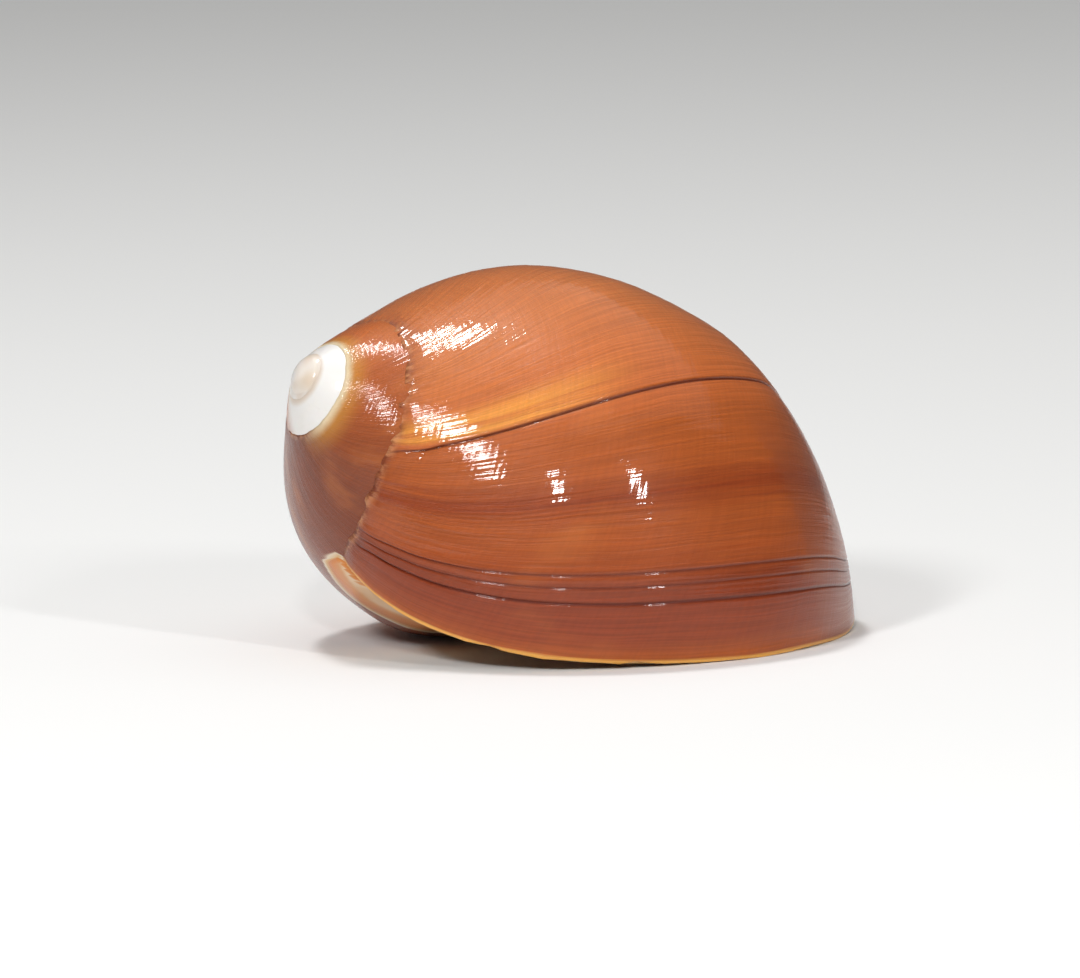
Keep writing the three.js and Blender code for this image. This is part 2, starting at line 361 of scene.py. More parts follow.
def tags(growth, share, inner=0.0, callus=0.0, crease=0.0):
    """One row of ATTRIBUTES for each point."""
    columns = np.broadcast_arrays(growth, share, inner, callus, crease)
    return np.stack(columns, -1).reshape(-1, len(ATTRIBUTES))


def row_angles():
    rows = [np.linspace(*run) for run in ROW_RUNS]
    for stop in GROWTH_STOPS:
        first = stop.growth - STOP_ROWS_REACH
        last = stop.growth + STOP_ROWS_REACH + stop.bend * STOP_ROWS_BEND
        rows.append(np.linspace(first, last, STOP_ROWS))
    rows = np.unique(np.concatenate(rows))
    keep = [rows[-1]]
    for angle in rows[::-1]:
        if keep[-1] - angle > LEAST_ROW_GAP:
            keep.append(angle)
    return np.array(keep[::-1])


def column_shares():
    runs = [np.linspace(*run, endpoint=False) for run in COLUMN_RUNS[:-1]]
    return np.concatenate([*runs, np.linspace(*COLUMN_RUNS[-1])])


def wall_at(behind_lip, share):
    wall = LIP_WALL + (WALL - LIP_WALL) * smoothstep(behind_lip, 0, LIP_TAPER)
    wall = wall + COLUMELLA_WALL * smoothstep(share, *COLUMELLA_WALL_SPAN)
    return SUTURE_WALL + (wall - SUTURE_WALL) * smoothstep(share, 0, SUTURE_WALL_SPAN)


def lip_line(share):
    """How far the lip line stands forward of its smooth course, as an angle: small chips and waves."""
    line = LIP_WAVES * ripple_sum(share, LIP_RIPPLES) - LIP_SETBACK
    for chip_share, width, depth in LIP_CHIPS:
        line = line - depth * hump(share, chip_share, width)
    return line


def suture_wiggle(share, turn):
    sway = SWAY + SWAY_LATE * smoothstep(turn, *SWAY_LATE_FROM) * smoothstep(turn, *SWAY_LATE_TO)
    return sway * ripple_sum(turn, SUTURE_RIPPLES) * np.exp(-share / SWAY_SPAN)


def callus_mask(growth, share):
    """1 on the whorl before, where the last whorl's mouth opens over it; 0 elsewhere."""
    turn = growth + lag_at(share) + 2 * math.pi
    seat = share_on_shoulder(SUTURE_SEAT + slide_at(np.minimum(turn, 0)))
    start = share_on_shoulder(SUTURE_SEAT) + CALLUS_SHARE_START
    down = smoothstep(share, start, CALLUS_SHARE_END)
    edge = CALLUS_TOP_TURN - CALLUS_FALL * down + CALLUS_WAVE * np.sin(CALLUS_WAVE_RATE * share)
    covered = smoothstep(share - seat, *CALLUS_START)
    behind = smoothstep(share - seat, *CALLUS_BEHIND_LIP)
    return covered * np.where(turn > 0, 1, behind) * smoothstep(edge - turn, *CALLUS_EDGE)


def grid_normals(points):
    """Outward unit normals of a grid whose rows follow growth and whose columns follow share."""
    along = np.gradient(points, axis=0)
    across = np.gradient(points, axis=1)
    normal = np.cross(along, across)
    return normal / (np.linalg.norm(normal, axis=-1, keepdims=True) + NO_LENGTH)


def wall_grids():
    """Growth and share over the rows and columns, the wall's two faces there, and the callus."""
    rows = row_angles()
    growth, share = np.meshgrid(rows, column_shares(), indexing="ij")
    growth = growth + lip_line(share) * smoothstep(growth, -LIP_LINE_SPAN, 0)
    turn = growth + lag_at(share)
    size = np.exp(GROWTH * turn)
    flat, tangent = section(share, turn, suture_wiggle(share, turn))
    inward = np.stack((tangent[..., 1], -tangent[..., 0]), -1)
    outside = place(flat, turn)
    inside = place(flat + inward * wall_at(-growth, share)[..., None], turn)
    normal = grid_normals(outside)

    closing = np.clip((growth - rows[0]) / CLOSE_SPAN, 0, 1)
    swell = np.maximum(np.sqrt(1 - (1 - closing) ** 2), CLOSED_SIZE)
    heart = place(HEART + 0 * flat, turn)
    outside = heart + (outside - heart) * swell[..., None]
    inside = heart + (inside - heart) * swell[..., None]

    callus = callus_mask(growth, share)
    lift = relief(growth, share) * (1 - callus) * swell * np.minimum(1, size**SPIRE_RELIEF_POWER)
    lift = lift * (1 - COLUMELLA_SMOOTHING * smoothstep(share, *COLUMELLA_SMOOTHING_SPAN))
    bead = hump(share, BEAD_SHARE, BEAD_SHARE_WIDTH) * hump(growth, BEAD_GROWTH, BEAD_GROWTH_WIDTH)
    lift = lift + CALLUS * callus * size + BEAD_HEIGHT * bead
    return growth, share, outside + normal * lift[..., None], inside, callus


def lip_edge(outside, inside):
    """Half a circle round the lip: rows from the outer face to the crest, and from the inner face."""
    forward = outside[-1] - outside[-2]
    forward /= np.linalg.norm(forward, axis=1, keepdims=True)
    across = inside[-1] - outside[-1]
    half = np.linalg.norm(across, axis=1, keepdims=True) / 2
    across /= 2 * half
    reach = np.minimum(half, LIP_EDGE_REACH)
    from_outer, from_inner = [], []
    for step in range(1, LIP_ROUNDING + 1):
        angle = step / LIP_ROUNDING * math.pi / 2
        sideways = across * half * (1 - math.cos(angle))
        ahead = forward * reach * math.sin(angle)
        from_outer.append(outside[-1] + sideways + ahead)
        from_inner.append(inside[-1] - sideways + ahead)
    return from_outer, from_inner[:-1]


def shell_mesh():
    """The wall: an outer face, a coarser inner face, and the edges that close them into one body."""
    growth, share, outside, inside, callus = wall_grids()
    count = growth.shape[1]
    inner_columns = np.unique(np.append(np.arange(0, count, INNER_STRIDE), count - 1))
    from_outer, from_inner = lip_edge(outside, inside)
    lip_growth, lip_share = growth[-1], share[-1]

    outer_lines = [*outside, *from_outer]
    outer_tags = [tags(growth, share, 0.0, callus, crease_mask(growth, share))]
    for step in range(1, LIP_ROUNDING + 1):
        along = step / LIP_ROUNDING
        outer_tags.append(tags(lip_growth + LIP_EDGE_GROWTH * along, lip_share, 0.5 * along))
    inner_lines = [line[inner_columns] for line in (*inside, *from_inner)]
    inner_tags = [tags(growth[:, inner_columns], share[:, inner_columns], 1.0)]
    for step in range(1, LIP_ROUNDING):
        inner_growth = lip_growth[inner_columns] + LIP_EDGE_GROWTH
        inner_tags.append(tags(inner_growth, lip_share[inner_columns], 1 - 0.5 * step / LIP_ROUNDING))
    points = np.concatenate([*outer_lines, *inner_lines])
    values = np.concatenate([*outer_tags, *inner_tags])

    outer_total = len(outer_lines) * count
    outer_rows = np.arange(outer_total).reshape(-1, count)
    inner_rows = np.arange(outer_total, len(points)).reshape(-1, len(inner_columns))
    faces = []
    for row, next_row in zip(outer_rows[:-1], outer_rows[1:]):
        faces += zip(next_row[:-1], next_row[1:], row[1:], row[:-1])
    for row, next_row in zip(inner_rows[:-1], inner_rows[1:]):
        faces += zip(row[1:], next_row[1:], next_row[:-1], row[:-1])
    # the crest of the lip has every outer column, and the inner row next to it has some of them
    crest, last = outer_rows[-1], inner_rows[-1]
    for i, (left, right) in enumerate(zip(inner_columns[:-1], inner_columns[1:])):
        faces.append((last[i + 1], *crest[left: right + 1][::-1], last[i]))
    # the two long edges, buried in the whorl before and in the pillar
    outer_edge, inner_edge = outer_rows[:, 0], inner_rows[:, 0]
    faces += zip(inner_edge[:-1], inner_edge[1:], outer_edge[1:-1], outer_edge[:-2])
    faces.append((inner_edge[-1], outer_edge[-1], outer_edge[-2]))
    outer_edge, inner_edge = outer_rows[:, -1], inner_rows[:, -1]
    faces += zip(outer_edge[1:-1], inner_edge[1:], inner_edge[:-1], outer_edge[:-2])
    faces.append((outer_edge[-1], inner_edge[-1], outer_edge[-2]))
    # the closed start, one face over both of its first rows
    faces.append((*outer_rows[0], *inner_rows[0][::-1]))
    return points, values, faces


# ---- the bodies on the coiling axis: the closed umbilicus and the tip ----------------------------
PILLAR_TOP = -2.0
PILLAR_END = -34.0
PILLAR_FLARE = 0.12
PILLAR_RINGS = 16
PILLAR_SIDES = 48
PLUG_RINGS = 12
PLUG_DROP = 1.75
PLUG_GROWTH = -3.0
PLUG_SHARE = 0.95
PLUG_SHARE_RISE = 0.02
PLUG_TINT = 0.42
PLUG_TINT_WAVE = 0.12
PLUG_TINT_RATE = 7
TIP_RADIUS = 2.2
TIP_TOP = -1.62
TIP_DEPTH = 1.3
TIP_RINGS = 13
TIP_SIDES = 40
TIP_GROWTH = -21.3
FIT_MARGIN = 0.9995


def lathe(profile, sides):
    """A closed body turned round the coiling axis from (radius, height) places, axis to axis."""
    around = np.linspace(0, 2 * math.pi, sides, endpoint=False)
    ends = [np.array([[0, 0, profile[0][1]]]), np.array([[0, 0, profile[-1][1]]])]
    rings = [np.stack((r * np.cos(around), r * np.sin(around), 0 * around + z), -1)
             for r, z in profile[1:-1]]
    points = np.concatenate([*rings, *ends])
    last = (len(rings) - 1) * sides
    top, bottom = len(points) - 2, len(points) - 1
    faces = []
    for i in range(sides):
        j = (i + 1) % sides
        for r in range(len(rings) - 1):
            a, b = r * sides, (r + 1) * sides
            faces.append((a + i, b + i, b + j, a + j))
        faces.append((top, i, j))
        faces.append((bottom, last + j, last + i))
    return points, faces


def pillar():
    """The cone inside the coil, ending in the round plug that closes the umbilicus."""
    radius = -PILLAR_END * PILLAR_FLARE
    end = PILLAR_END - PLUG_DROP * radius
    heights = np.linspace(PILLAR_TOP, PILLAR_END, PILLAR_RINGS)[1:]
    cone = [(-z * PILLAR_FLARE, z) for z in heights]
    angles = np.linspace(0, math.pi / 2, PLUG_RINGS)[1:-1]
    plug = [(radius * math.cos(a), PILLAR_END - PLUG_DROP * radius * math.sin(a)) for a in angles]
    points, faces = lathe([(0.0, PILLAR_TOP), *cone, *plug, (0.0, end)], PILLAR_SIDES)
    depth = points[:, 2] / PILLAR_END
    tint = PLUG_TINT + PLUG_TINT_WAVE * np.sin(PLUG_TINT_RATE * depth)
    return points, tags(PLUG_GROWTH, PLUG_SHARE + PLUG_SHARE_RISE * depth, callus=tint), faces


def tip():
    """The flat round body under the first turn."""
    angles = np.linspace(0, math.pi, TIP_RINGS)
    ball = [(TIP_RADIUS * math.sin(a), TIP_TOP + TIP_DEPTH * (math.cos(a) - 1)) for a in angles]
    points, faces = lathe(ball, TIP_SIDES)
    return points, tags(np.full(len(points), TIP_GROWTH), 0.0), faces


def seated(points):
    """The points at rest in the row frame, in metres, inside the CAD part's box; and the apex there."""
    lying = points @ resting_turn().T
    low, high = lying.min(0), lying.max(0)
    low[2] += CONTACT_DEPTH
    centre = np.array(((low[0] + high[0]) / 2, (low[1] + high[1]) / 2, low[2]))
    room = (np.array(CAD_BOX[1]) - np.array(CAD_BOX[0])) / (high - low)
    fit = room.min() * FIT_MARGIN
    placed = (lying - centre) * fit
    placed[:, 2] = np.maximum(placed[:, 2], 0)
    return placed, -centre * fit


def build_shell():
    offset, points, values, faces = 0, [], [], []
    for some_points, some_values, some_faces in (shell_mesh(), pillar(), tip()):
        points.append(some_points)
        values.append(some_values)
        faces += [tuple(int(i) + offset for i in face) for face in some_faces]
        offset += len(some_points)
    placed, apex = seated(np.concatenate(points))
    mesh = bpy.data.meshes.new("shell_surface")
    mesh.from_pydata(placed.tolist(), [], faces)
    mesh.validate()
    values = np.concatenate(values)
    for i, name in enumerate(ATTRIBUTES):
        layer = mesh.attributes.new(name, "FLOAT", "POINT")
        layer.data.foreach_set("value", values[:, i].astype(np.float32))
    mesh.polygons.foreach_set("use_smooth", [True] * len(mesh.polygons))
    mesh.update()
    shell = bpy.data.objects.new("shell_surface", mesh)
    bpy.context.scene.collection.objects.link(shell)
    return shell, Vector(apex)


# ---- the material: patterns and where they show ---------------------------------------------------
# noise over growth and share: cells per radian, cells per whole share, slice, detail, roughness
Pattern = namedtuple("Pattern", "per_growth per_share slice detail roughness")
DRIFT = Pattern(4.0, 9.0, 0.0, 2.0, 0.5)
FINE_LINES = Pattern(95.0, 7.0, 0.0, 4.0, 0.65)
BROAD_LINES = Pattern(17.0, 3.0, 3.7, 3.0, 0.6)
STRIAE = Pattern(5.0, 270.0, 9.1, 3.0, 0.6)
CLOUDS = Pattern(2.3, 7.0, 5.5, 3.0, 0.5)
WORN = Pattern(14.0, 60.0, 1.3, 5.0, 0.7)
GLOSS_THREADS = Pattern(62.0, 5.0, 2.2, 0.6, 0.5)
GLOSS_BANDS = Pattern(6.0, 210.0, 8.8, 0.6, 0.5)
DRIFT_AMOUNT = 0.035
TIP_SPOT_SCALE = 420.0

# colours as (growth, sRGB), from the yellow whorl before the white tip to the lip, with some painted shade
EARLIEST_COLOUR = -12.6
BODY_COLOURS_AND_SHADE = (
    (EARLIEST_COLOUR, (190, 100, 42)),
    (-8.6, (190, 98, 40)),
    (-7.2, (166, 82, 34)),
    # these two dark stops are partly the older whorl's own darker brown and partly painted shade on the
    # lower-left bulge
    (-6.2, (122, 56, 26)),
    (-5.0, (134, 62, 30)),
    (-3.6, (190, 102, 48)),
    (-1.75, (200, 114, 58)),
    (-1.3, (196, 106, 50)),
    (-1.09, (190, 98, 44)),
    (-0.95, (172, 86, 34)),
    (-0.74, (168, 82, 33)),
    (-0.64, (142, 60, 24)),
    (-0.54, (168, 82, 34)),
    (-0.38, (164, 78, 34)),
    (-0.27, (134, 54, 22)),
    (-0.16, (138, 56, 22)),
    (-0.07, (148, 64, 24)),
    (0.0, (176, 86, 30)),
)
BODY_RAGGEDNESS = 0.16
INSIDE_COLOURS = (
    (EARLIEST_COLOUR, (222, 196, 172)),
    (-5.0, (214, 178, 150)),
    (-2.5, (196, 138, 104)),
    (-0.6, (172, 92, 52)),
    (-0.08, (190, 108, 52)),
    (0.0, (236, 196, 132)),
)
# colours as (callus, sRGB), from the edge of the glaze inwards
GLAZE_COLOURS = (
    (0.0, (150, 72, 34)),
    (0.05, (226, 208, 182)),
    (0.14, (216, 172, 112)),
    (0.3, (206, 120, 44)),
    (0.55, (214, 128, 44)),
    (0.9, (214, 150, 92)),
    (1.0, (226, 190, 148)),
)

# the other colours, in sRGB, with how strongly each is mixed in
Tint = namedtuple("Tint", "colour amount")
STREAK_GOLD = Tint((230, 150, 62), 1.0)
DARK_LINE = Tint((118, 44, 16), 0.32)
LIGHT_PATCH = Tint((208, 122, 58), 0.3)
DULL_BASE = Tint((140, 72, 44), 0.5)
CREASE_BROWN = Tint((84, 24, 10), 0.9)
RIM_YELLOW = Tint((206, 144, 54), 0.7)
RIM_MILKY = Tint((232, 214, 178), 0.85)
SUTURE_STAIN = Tint((104, 44, 28), 1.0)
CORD_DARK = (120, 56, 36)
CORD_LIGHT = (200, 136, 92)
CORD_AMOUNT = 0.8
TIP_WHITE = Tint((232, 228, 224), 1.0)
TIP_TAN = Tint((206, 170, 126), 0.55)
TIP_LINE = Tint((196, 160, 118), 0.5)
LIP_GOLD = Tint((238, 178, 84), 0.9)
MOTTLE_CREAM = (232, 208, 176)
MOTTLE_TAN = (214, 160, 110)
MOTTLE_AMOUNT = 0.8

# Where each layer shows: spans of growth, of share, or of a noise's value.  A name that ends in
# SHADE, BREAKS or STRENGTH holds a noise's span and what it becomes over that span.
LINE_SHADE = ((0.33, 0.68), (0.84, 1.10))
STRIA_SHADE = ((0.3, 0.7), (0.95, 1.03))
DARK_LINE_BROAD = (0.60, 0.74)
DARK_LINE_FINE = (0.42, 0.6)
PATCH_CLOUDS = (0.55, 0.75)
# the golden streak along the first growth stop
STREAK_START = (-1.34, -1.18)
STREAK_END = (-1.10, -1.06)
STREAK_SHARES = (0.10, 0.24)
STREAK_BREAKS = ((0.35, 0.6), (0.35, 0.95))
# the duller base, past a line that rises with growth
BASE_LINE_RISE = 0.15
BASE_LINE_SHARE = 0.468
BASE_LINE_SPAN = (-0.004, 0.008)
BASE_LINE_RAGGEDNESS = 0.05
BASE_START = (-1.0, -0.7)
# the spire
EARLY_END = (-2 * math.pi - 0.6, -2 * math.pi + 0.3)
RIM_SHARES = (0.005, 0.06)
MILKY_SHARES = (0.002, 0.022)
STAIN_SHARES = (0.028, 0.060)
STAIN_RAGGEDNESS = 0.06
STAIN_STRENGTH = ((0.35, 0.65), (0.15, 0.6))
CORD_SHARES = (0.0, 0.011)
CORD_WEAR = (0.4, 0.62)
# the white tip
WHITE_END = -4 * math.pi + 1.6
WHITE_FADE = 0.9
WHITE_RAGGEDNESS = 0.4
FIRST_TURN_END = (-18.4, -14.5)
TIP_SPOTS = (0.25, 0.8)
TIP_LINE_START = (-20.9, -20.5)
TIP_LINE_SHARES = (0.004, 0.03)
# the lip's bright edge, the inside and the glaze
LIP_SPAN = (-0.016, -0.002)
LIP_RAGGEDNESS = 0.012
INSIDE_SPAN = (0.35, 0.75)
GLAZE_SPAN = (0.0, 0.05)
MOTTLE_SPAN = (0.8, 1.0)
MOTTLE_CLOUDS = (0.35, 0.65)

# the bumps: how much of each pattern they take, their height in metres, and where they fade
FINE_BUMP = 0.55
STRIA_BUMP = 0.22
BROAD_BUMP = 0.5
PIT_BUMP = 0.8
GLOSS_BAND_BUMP = 0.75
BUMP_DISTANCE = 0.00012
GLOSS_BUMP_DISTANCE = 0.000026
INSIDE_COVER = ((0.2, 0.8), (0.0, 0.8))
TIP_SMOOTHING = 0.75
ROUGHNESS = ((0.3, 0.7), (0.40, 0.28))


class Graph:
    """Short names for the nodes that the material uses."""

    def __init__(self, material):
        material.use_nodes = True
        self.tree = material.node_tree
        self.tree.nodes.clear()

    def node(self, kind, **settings):
        made = self.tree.nodes.new(kind)
        for name, value in settings.items():
            setattr(made, name, value)
        return made

    def feed(self, socket, value):
        if isinstance(value, bpy.types.NodeSocket):
            self.tree.links.new(value, socket)
        else:
            socket.default_value = value

    def value(self, name):
        return self.node("ShaderNodeAttribute", attribute_name=name).outputs["Fac"]

    def math(self, operation, a, b):
        made = self.node("ShaderNodeMath", operation=operation)
        self.feed(made.inputs[0], a)
        self.feed(made.inputs[1], b)
        return made.outputs[0]

    def plus(self, a, b):
        return self.math("ADD", a, b)

    def minus(self, a, b):
        return self.math("SUBTRACT", a, b)

    def times(self, a, b, *more):
        product = self.math("MULTIPLY", a, b)
        for factor in more:
            product = self.math("MULTIPLY", product, factor)
        return product

    def swing(self, noise, amount):
        """A noise from 0 to 1, made to swing about 0."""
        return self.times(self.minus(noise, 0.5), amount)

    def vector(self, x, y, z):
        made = self.node("ShaderNodeCombineXYZ")
        for socket, value in zip(made.inputs, (x, y, z)):
            self.feed(socket, value)
        return made.outputs[0]

    def noise(self, vector, scale, detail, roughness=0.5):
        made = self.node("ShaderNodeTexNoise", noise_dimensions="3D")
        self.feed(made.inputs["Vector"], vector)
        made.inputs["Scale"].default_value = scale
        made.inputs["Detail"].default_value = detail
        made.inputs["Roughness"].default_value = roughness
        return made.outputs["Fac"]

    def pattern(self, growth, share, kind):
        x = self.times(growth, kind.per_growth)
        y = self.times(share, kind.per_share)
        return self.noise(self.vector(x, y, kind.slice), 1.0, kind.detail, kind.roughness)

    def remap(self, value, span, outputs):
        """A smooth step from the first output to the second, over the span."""
        made = self.node("ShaderNodeMapRange", interpolation_type="SMOOTHSTEP")
        for socket, given in zip(made.inputs, (value, *span, *outputs)):
            self.feed(socket, given)
        return made.outputs[0]

    def rise(self, value, span):
        return self.remap(value, span, (0.0, 1.0))

    def fall(self, value, span):
        return self.remap(value, span, (1.0, 0.0))

    def mix(self, share, a, b, blend="MIX"):
        made = self.node("ShaderNodeMix", data_type="RGBA", blend_type=blend)
        self.feed(made.inputs[0], share)
        self.feed(made.inputs[6], a)
        self.feed(made.inputs[7], b)
        return made.outputs[2]

    def tint(self, colour, mask, tint):
        """The colour, mixed towards the tint where the mask is high."""
        return self.mix(self.times(mask, tint.amount), colour, linear(tint.colour))

    def shade(self, colour, value):
        """The colour, made darker or lighter by a factor."""
        return self.mix(1.0, colour, self.vector(value, value, value), "MULTIPLY")

    def ramp(self, value, stops):
        made = self.node("ShaderNodeValToRGB")
        self.feed(made.inputs[0], value)
        elements = made.color_ramp.elements
        while len(elements) < len(stops):
            elements.new(0.5)
        for element, (at, colour) in zip(elements, stops):
            element.position = at
            element.color = linear(colour)
        return made.outputs[0]

    def growth_ramp(self, growth, stops):
        """A ramp whose stops are given by growth, from EARLIEST_COLOUR to the lip."""
        span = -EARLIEST_COLOUR
        return self.ramp(self.math("DIVIDE", self.plus(growth, span), span),
                         [((at + span) / span, colour) for at, colour in stops])


def linear(colour):
    """An sRGB colour, 0 to 255, as the linear values that shaders take."""
    scaled = [level / 255 for level in colour]
    return (*(v / 12.92 if v < 0.04045 else ((v + 0.055) / 1.055) ** 2.4 for v in scaled), 1.0)


class ShellGraph(Graph):
    """The shell's own fields, and the layers of colour and relief that are built on them."""

    def __init__(self, material):
        super().__init__(material)
        self.growth, self.share = self.value("growth"), self.value("share")
        self.inner, self.callus = self.value("inner"), self.value("callus")
        self.crease = self.value("crease")
        drift = self.pattern(self.growth, self.share, DRIFT)
        self.wavy = self.plus(self.growth, self.times(drift, DRIFT_AMOUNT))
        self.fine = self.pattern(self.wavy, self.share, FINE_LINES)
        self.broad = self.pattern(self.wavy, self.share, BROAD_LINES)
        self.striae = self.pattern(self.growth, self.share, STRIAE)
        self.cloud = self.pattern(self.growth, self.share, CLOUDS)
        self.worn = self.pattern(self.growth, self.share, WORN)
        self.ragged_growth = self.plus(self.growth, self.swing(self.broad, BODY_RAGGEDNESS))
        self.early = self.fall(self.growth, EARLY_END)
        ragged_share = self.plus(self.share, self.times(self.worn, STAIN_RAGGEDNESS))
        self.near_suture = self.fall(ragged_share, STAIN_SHARES)
        white_edge = self.plus(self.growth, self.swing(self.cloud, WHITE_RAGGEDNESS))
        self.white = self.fall(white_edge, (WHITE_END - WHITE_FADE, WHITE_END))

    def body_colour(self):
        """Browns along the growth, partly painted shade on the lower-left bulge, with the golden streak,
        growth lines, striae and duller base.
        """
        colour = self.growth_ramp(self.ragged_growth, BODY_COLOURS_AND_SHADE)
        streak = self.times(self.rise(self.growth, STREAK_START), self.fall(self.growth, STREAK_END),
                            self.fall(self.share, STREAK_SHARES))
        broken_streak = self.times(streak, self.remap(self.broad, *STREAK_BREAKS))
        colour = self.tint(colour, broken_streak, STREAK_GOLD)
        colour = self.shade(colour, self.remap(self.fine, *LINE_SHADE))
        colour = self.shade(colour, self.remap(self.striae, *STRIA_SHADE))
        dark_broad, dark_fine = self.rise(self.broad, DARK_LINE_BROAD), self.rise(self.fine, DARK_LINE_FINE)
        colour = self.tint(colour, self.times(dark_broad, dark_fine), DARK_LINE)
        colour = self.tint(colour, self.rise(self.cloud, PATCH_CLOUDS), LIGHT_PATCH)
        ragged_share = self.plus(self.share, self.swing(self.fine, BASE_LINE_RAGGEDNESS))
        base_line = self.plus(self.times(self.growth, BASE_LINE_RISE), BASE_LINE_SHARE)
        past_line = self.rise(self.minus(ragged_share, base_line), BASE_LINE_SPAN)
        base = self.times(past_line, self.rise(self.growth, BASE_START))
        colour = self.tint(colour, base, DULL_BASE)
        return self.tint(colour, self.crease, CREASE_BROWN)

    def add_spire(self, colour):
        """A yellow and milky rim under the white tip, and later the dark worn suture with its cord."""
        rim = self.times(self.fall(self.share, RIM_SHARES), self.early)
        colour = self.tint(colour, rim, RIM_YELLOW)
        milky = self.times(self.fall(self.share, MILKY_SHARES), self.early)
        colour = self.tint(colour, milky, RIM_MILKY)
        late = self.minus(1.0, self.early)
        stain = self.times(self.near_suture, late, self.remap(self.cloud, *STAIN_STRENGTH))
        colour = self.tint(colour, stain, SUTURE_STAIN)
        cord = self.times(self.fall(self.share, CORD_SHARES), late)
        cord_colour = self.mix(self.rise(self.worn, CORD_WEAR), linear(CORD_DARK), linear(CORD_LIGHT))
        return self.mix(self.times(cord, CORD_AMOUNT), colour, cord_colour)

    def add_white_tip(self, colour):
        """The white tip, with a tan cloud on its first turn and a thin line round that turn."""
        colour = self.tint(colour, self.white, TIP_WHITE)
        object_place = self.node("ShaderNodeTexCoord").outputs["Object"]
        spots = self.noise(object_place, TIP_SPOT_SCALE, 1.0)
        first_turn = self.times(self.fall(self.growth, FIRST_TURN_END), self.rise(spots, TIP_SPOTS))
        colour = self.tint(colour, first_turn, TIP_TAN)
        line = self.times(self.fall(self.share, TIP_LINE_SHARES), self.white,
                          self.rise(self.growth, TIP_LINE_START))
        return self.tint(colour, line, TIP_LINE)

    def add_mouth(self, colour):
        """The bright edge of the lip, the inside of the shell and the glaze of the callus."""
        ragged_growth = self.plus(self.growth, self.times(self.fine, LIP_RAGGEDNESS))
        colour = self.tint(colour, self.rise(ragged_growth, LIP_SPAN), LIP_GOLD)
        inside = self.growth_ramp(self.ragged_growth, INSIDE_COLOURS)
        colour = self.mix(self.rise(self.inner, INSIDE_SPAN), colour, inside)
        mottle = self.mix(self.rise(self.cloud, MOTTLE_CLOUDS), linear(MOTTLE_CREAM), linear(MOTTLE_TAN))
        thick = self.times(self.rise(self.callus, MOTTLE_SPAN), MOTTLE_AMOUNT)
        glaze = self.mix(thick, self.ramp(self.callus, GLAZE_COLOURS), mottle)
        return self.mix(self.rise(self.callus, GLAZE_SPAN), colour, glaze)

    def bump(self, height, distance):
        """A bump on the outer surface, which fades on the white tip, the inside and the callus."""
        covered = self.math("MAXIMUM", self.remap(self.inner, *INSIDE_COVER), self.callus)
        rough_tip = self.minus(1.0, self.times(self.white, TIP_SMOOTHING))
        bump = self.node("ShaderNodeBump")
        bump.inputs["Distance"].default_value = distance
        self.feed(bump.inputs["Strength"], self.times(self.minus(1.0, covered), rough_tip))
        self.feed(bump.inputs["Height"], height)
        return bump.outputs[0]

    def surface_height(self):
        """Growth lines, striae and the pits at the suture."""
        height = self.plus(self.times(self.fine, FINE_BUMP), self.times(self.striae, STRIA_BUMP))
        height = self.plus(height, self.times(self.broad, BROAD_BUMP))
        return self.plus(height, self.times(self.worn, self.near_suture, PIT_BUMP))

    def gloss_height(self):
        """The crossed threads that break the highlights up."""
        threads = self.pattern(self.wavy, self.share, GLOSS_THREADS)
        bands = self.pattern(self.growth, self.share, GLOSS_BANDS)
        return self.plus(self.times(bands, GLOSS_BAND_BUMP), threads)


def shell_material():
    material = bpy.data.materials.new("shell_glaze")
    g = ShellGraph(material)
    colour = g.body_colour()
    colour = g.add_spire(colour)
    colour = g.add_white_tip(colour)
    colour = g.add_mouth(colour)
    shader = g.node("ShaderNodeBsdfPrincipled")
    g.feed(shader.inputs["Base Color"], colour)
    g.feed(shader.inputs["Roughness"], g.remap(g.fine, *ROUGHNESS))
    g.feed(shader.inputs["Normal"], g.bump(g.surface_height(), BUMP_DISTANCE))
    g.feed(shader.inputs["Coat Normal"], g.bump(g.gloss_height(), GLOSS_BUMP_DISTANCE))
    shader.inputs["IOR"].default_value = 1.5
    shader.inputs["Specular IOR Level"].default_value = 0.2
    shader.inputs["Coat Weight"].default_value = 0.5
    shader.inputs["Coat Roughness"].default_value = 0.06
    shader.inputs["Subsurface Weight"].default_value = 0.06
    shader.inputs["Subsurface Radius"].default_value = (1.0, 0.45, 0.2)
    shader.inputs["Subsurface Scale"].default_value = 0.001
    out = g.node("ShaderNodeOutputMaterial")
    g.feed(out.inputs["Surface"], shader.outputs[0])
    return material


# ---- camera, lights and floor, in metres ----------------------------------------------------------
CAMERA_RIGHT = Vector((0.9997, 0.0, -0.024)).normalized()
CAMERA_TOWARD = Vector((0.0033, -0.990, 0.136)).normalized()
CAMERA_DISTANCE = 0.864
FRAME_WIDTH = 0.0933
AIM_RIGHT = 0.0220
AIM_DOWN = 0.0110
SENSOR = 36.0

# one bright panel for each patch of shine on the shell, and a wide soft one for the rest
Panel = namedtuple("Panel", "name direction distance width height watts")
PANELS = (
    Panel("window_top", (-0.21, 0.19, 0.96), 0.7, 0.09, 0.08, 2.0),
    Panel("window_left", (-0.45, -0.66, 0.60), 0.7, 0.08, 0.13, 1.8),
    Panel("window_front", (-0.05, -0.87, 0.48), 0.7, 0.045, 0.07, 1.0),
    Panel("window_right", (0.53, -0.70, 0.48), 0.7, 0.035, 0.11, 1.1),
    Panel("soft_top", (0.15, 0.15, 1.0), 1.9, 2.8, 2.8, 13.5),
)
PANELS_AIM = Vector((0, 0, 0.015))
WORLD_COLOUR = (1.0, 0.99, 0.97, 1.0)
WORLD_STRENGTH = 0.10
FLOOR_SIZE = 6
FLOOR_DROP = 0.00002
FLOOR_COLOUR = (0.86, 0.86, 0.85, 1)
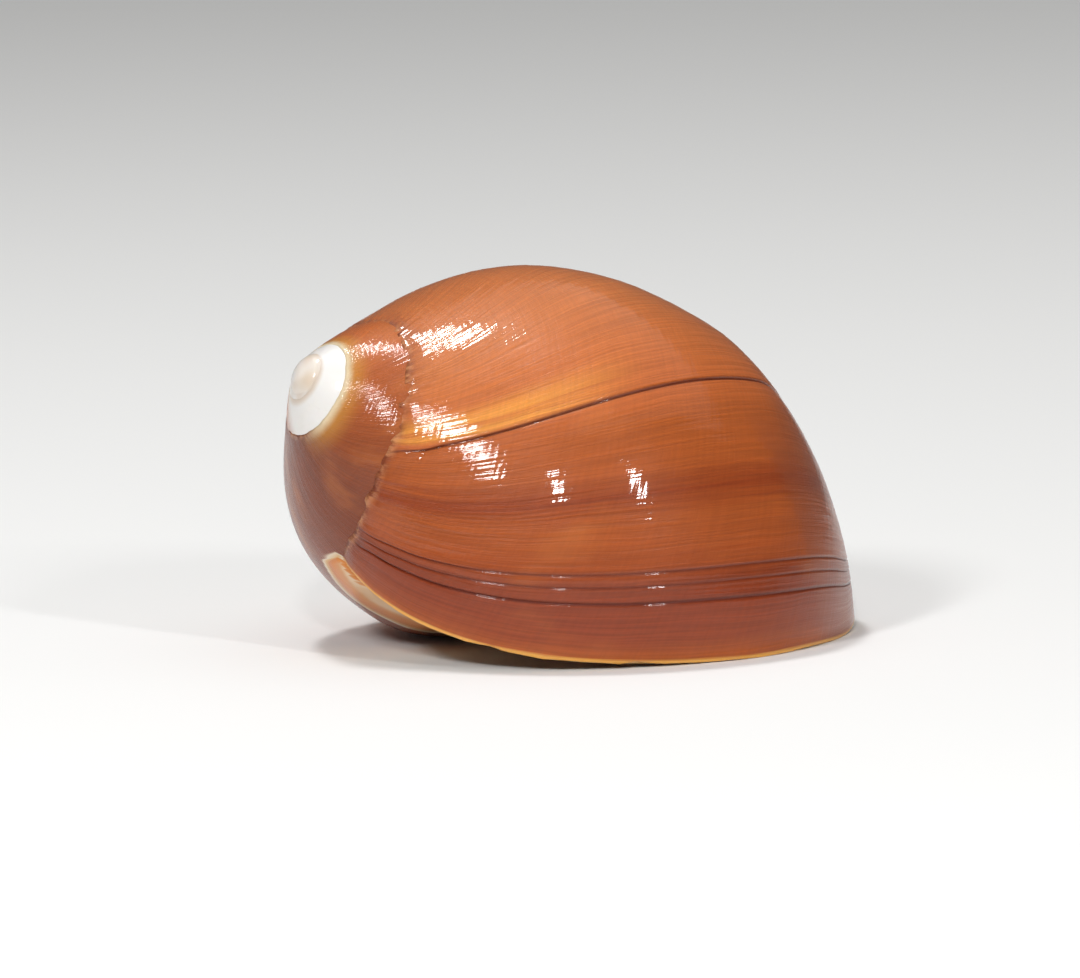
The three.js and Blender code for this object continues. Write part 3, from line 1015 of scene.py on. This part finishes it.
FLOOR_ROUGHNESS = 0.9


def add_camera(apex):
    toward = CAMERA_TOWARD
    right = (CAMERA_RIGHT - toward * CAMERA_RIGHT.dot(toward)).normalized()
    up = toward.cross(right)
    aim = apex + right * AIM_RIGHT - up * AIM_DOWN
    data = bpy.data.cameras.new("camera")
    data.sensor_width = SENSOR
    data.lens = SENSOR * CAMERA_DISTANCE / FRAME_WIDTH
    camera = bpy.data.objects.new("camera", data)
    turn = Matrix((right, up, toward)).transposed()
    camera.matrix_world = Matrix.Translation(aim + toward * CAMERA_DISTANCE) @ turn.to_4x4()
    bpy.context.scene.collection.objects.link(camera)
    bpy.context.scene.camera = camera


def add_panel(panel):
    data = bpy.data.lights.new(panel.name, "AREA")
    data.shape = "RECTANGLE"
    data.size = panel.width
    data.size_y = panel.height
    data.energy = panel.watts
    light = bpy.data.objects.new(panel.name, data)
    away = Vector(panel.direction).normalized()
    light.location = PANELS_AIM + away * panel.distance
    light.rotation_euler = away.to_track_quat("Z", "Y").to_euler()
    bpy.context.scene.collection.objects.link(light)


def add_studio():
    for panel in PANELS:
        add_panel(panel)
    # the photo's browns are stronger than the default view transform lets them be
    bpy.context.scene.view_settings.view_transform = "Standard"
    world = bpy.data.worlds.new("studio")
    bpy.context.scene.world = world
    world.use_nodes = True
    background = world.node_tree.nodes["Background"]
    background.inputs["Color"].default_value = WORLD_COLOUR
    background.inputs["Strength"].default_value = WORLD_STRENGTH
    bpy.ops.mesh.primitive_plane_add(size=FLOOR_SIZE, location=(0, 0, -FLOOR_DROP))
    floor = bpy.context.object
    floor.name = "floor"
    paper = bpy.data.materials.new("paper")
    paper.use_nodes = True
    shader = paper.node_tree.nodes["Principled BSDF"]
    shader.inputs["Base Color"].default_value = FLOOR_COLOUR
    shader.inputs["Roughness"].default_value = FLOOR_ROUGHNESS
    floor.data.materials.append(paper)


shell, apex = build_shell()
shell.data.materials.append(shell_material())
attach(shell, "root")
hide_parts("shell")
add_studio()
add_camera(apex)
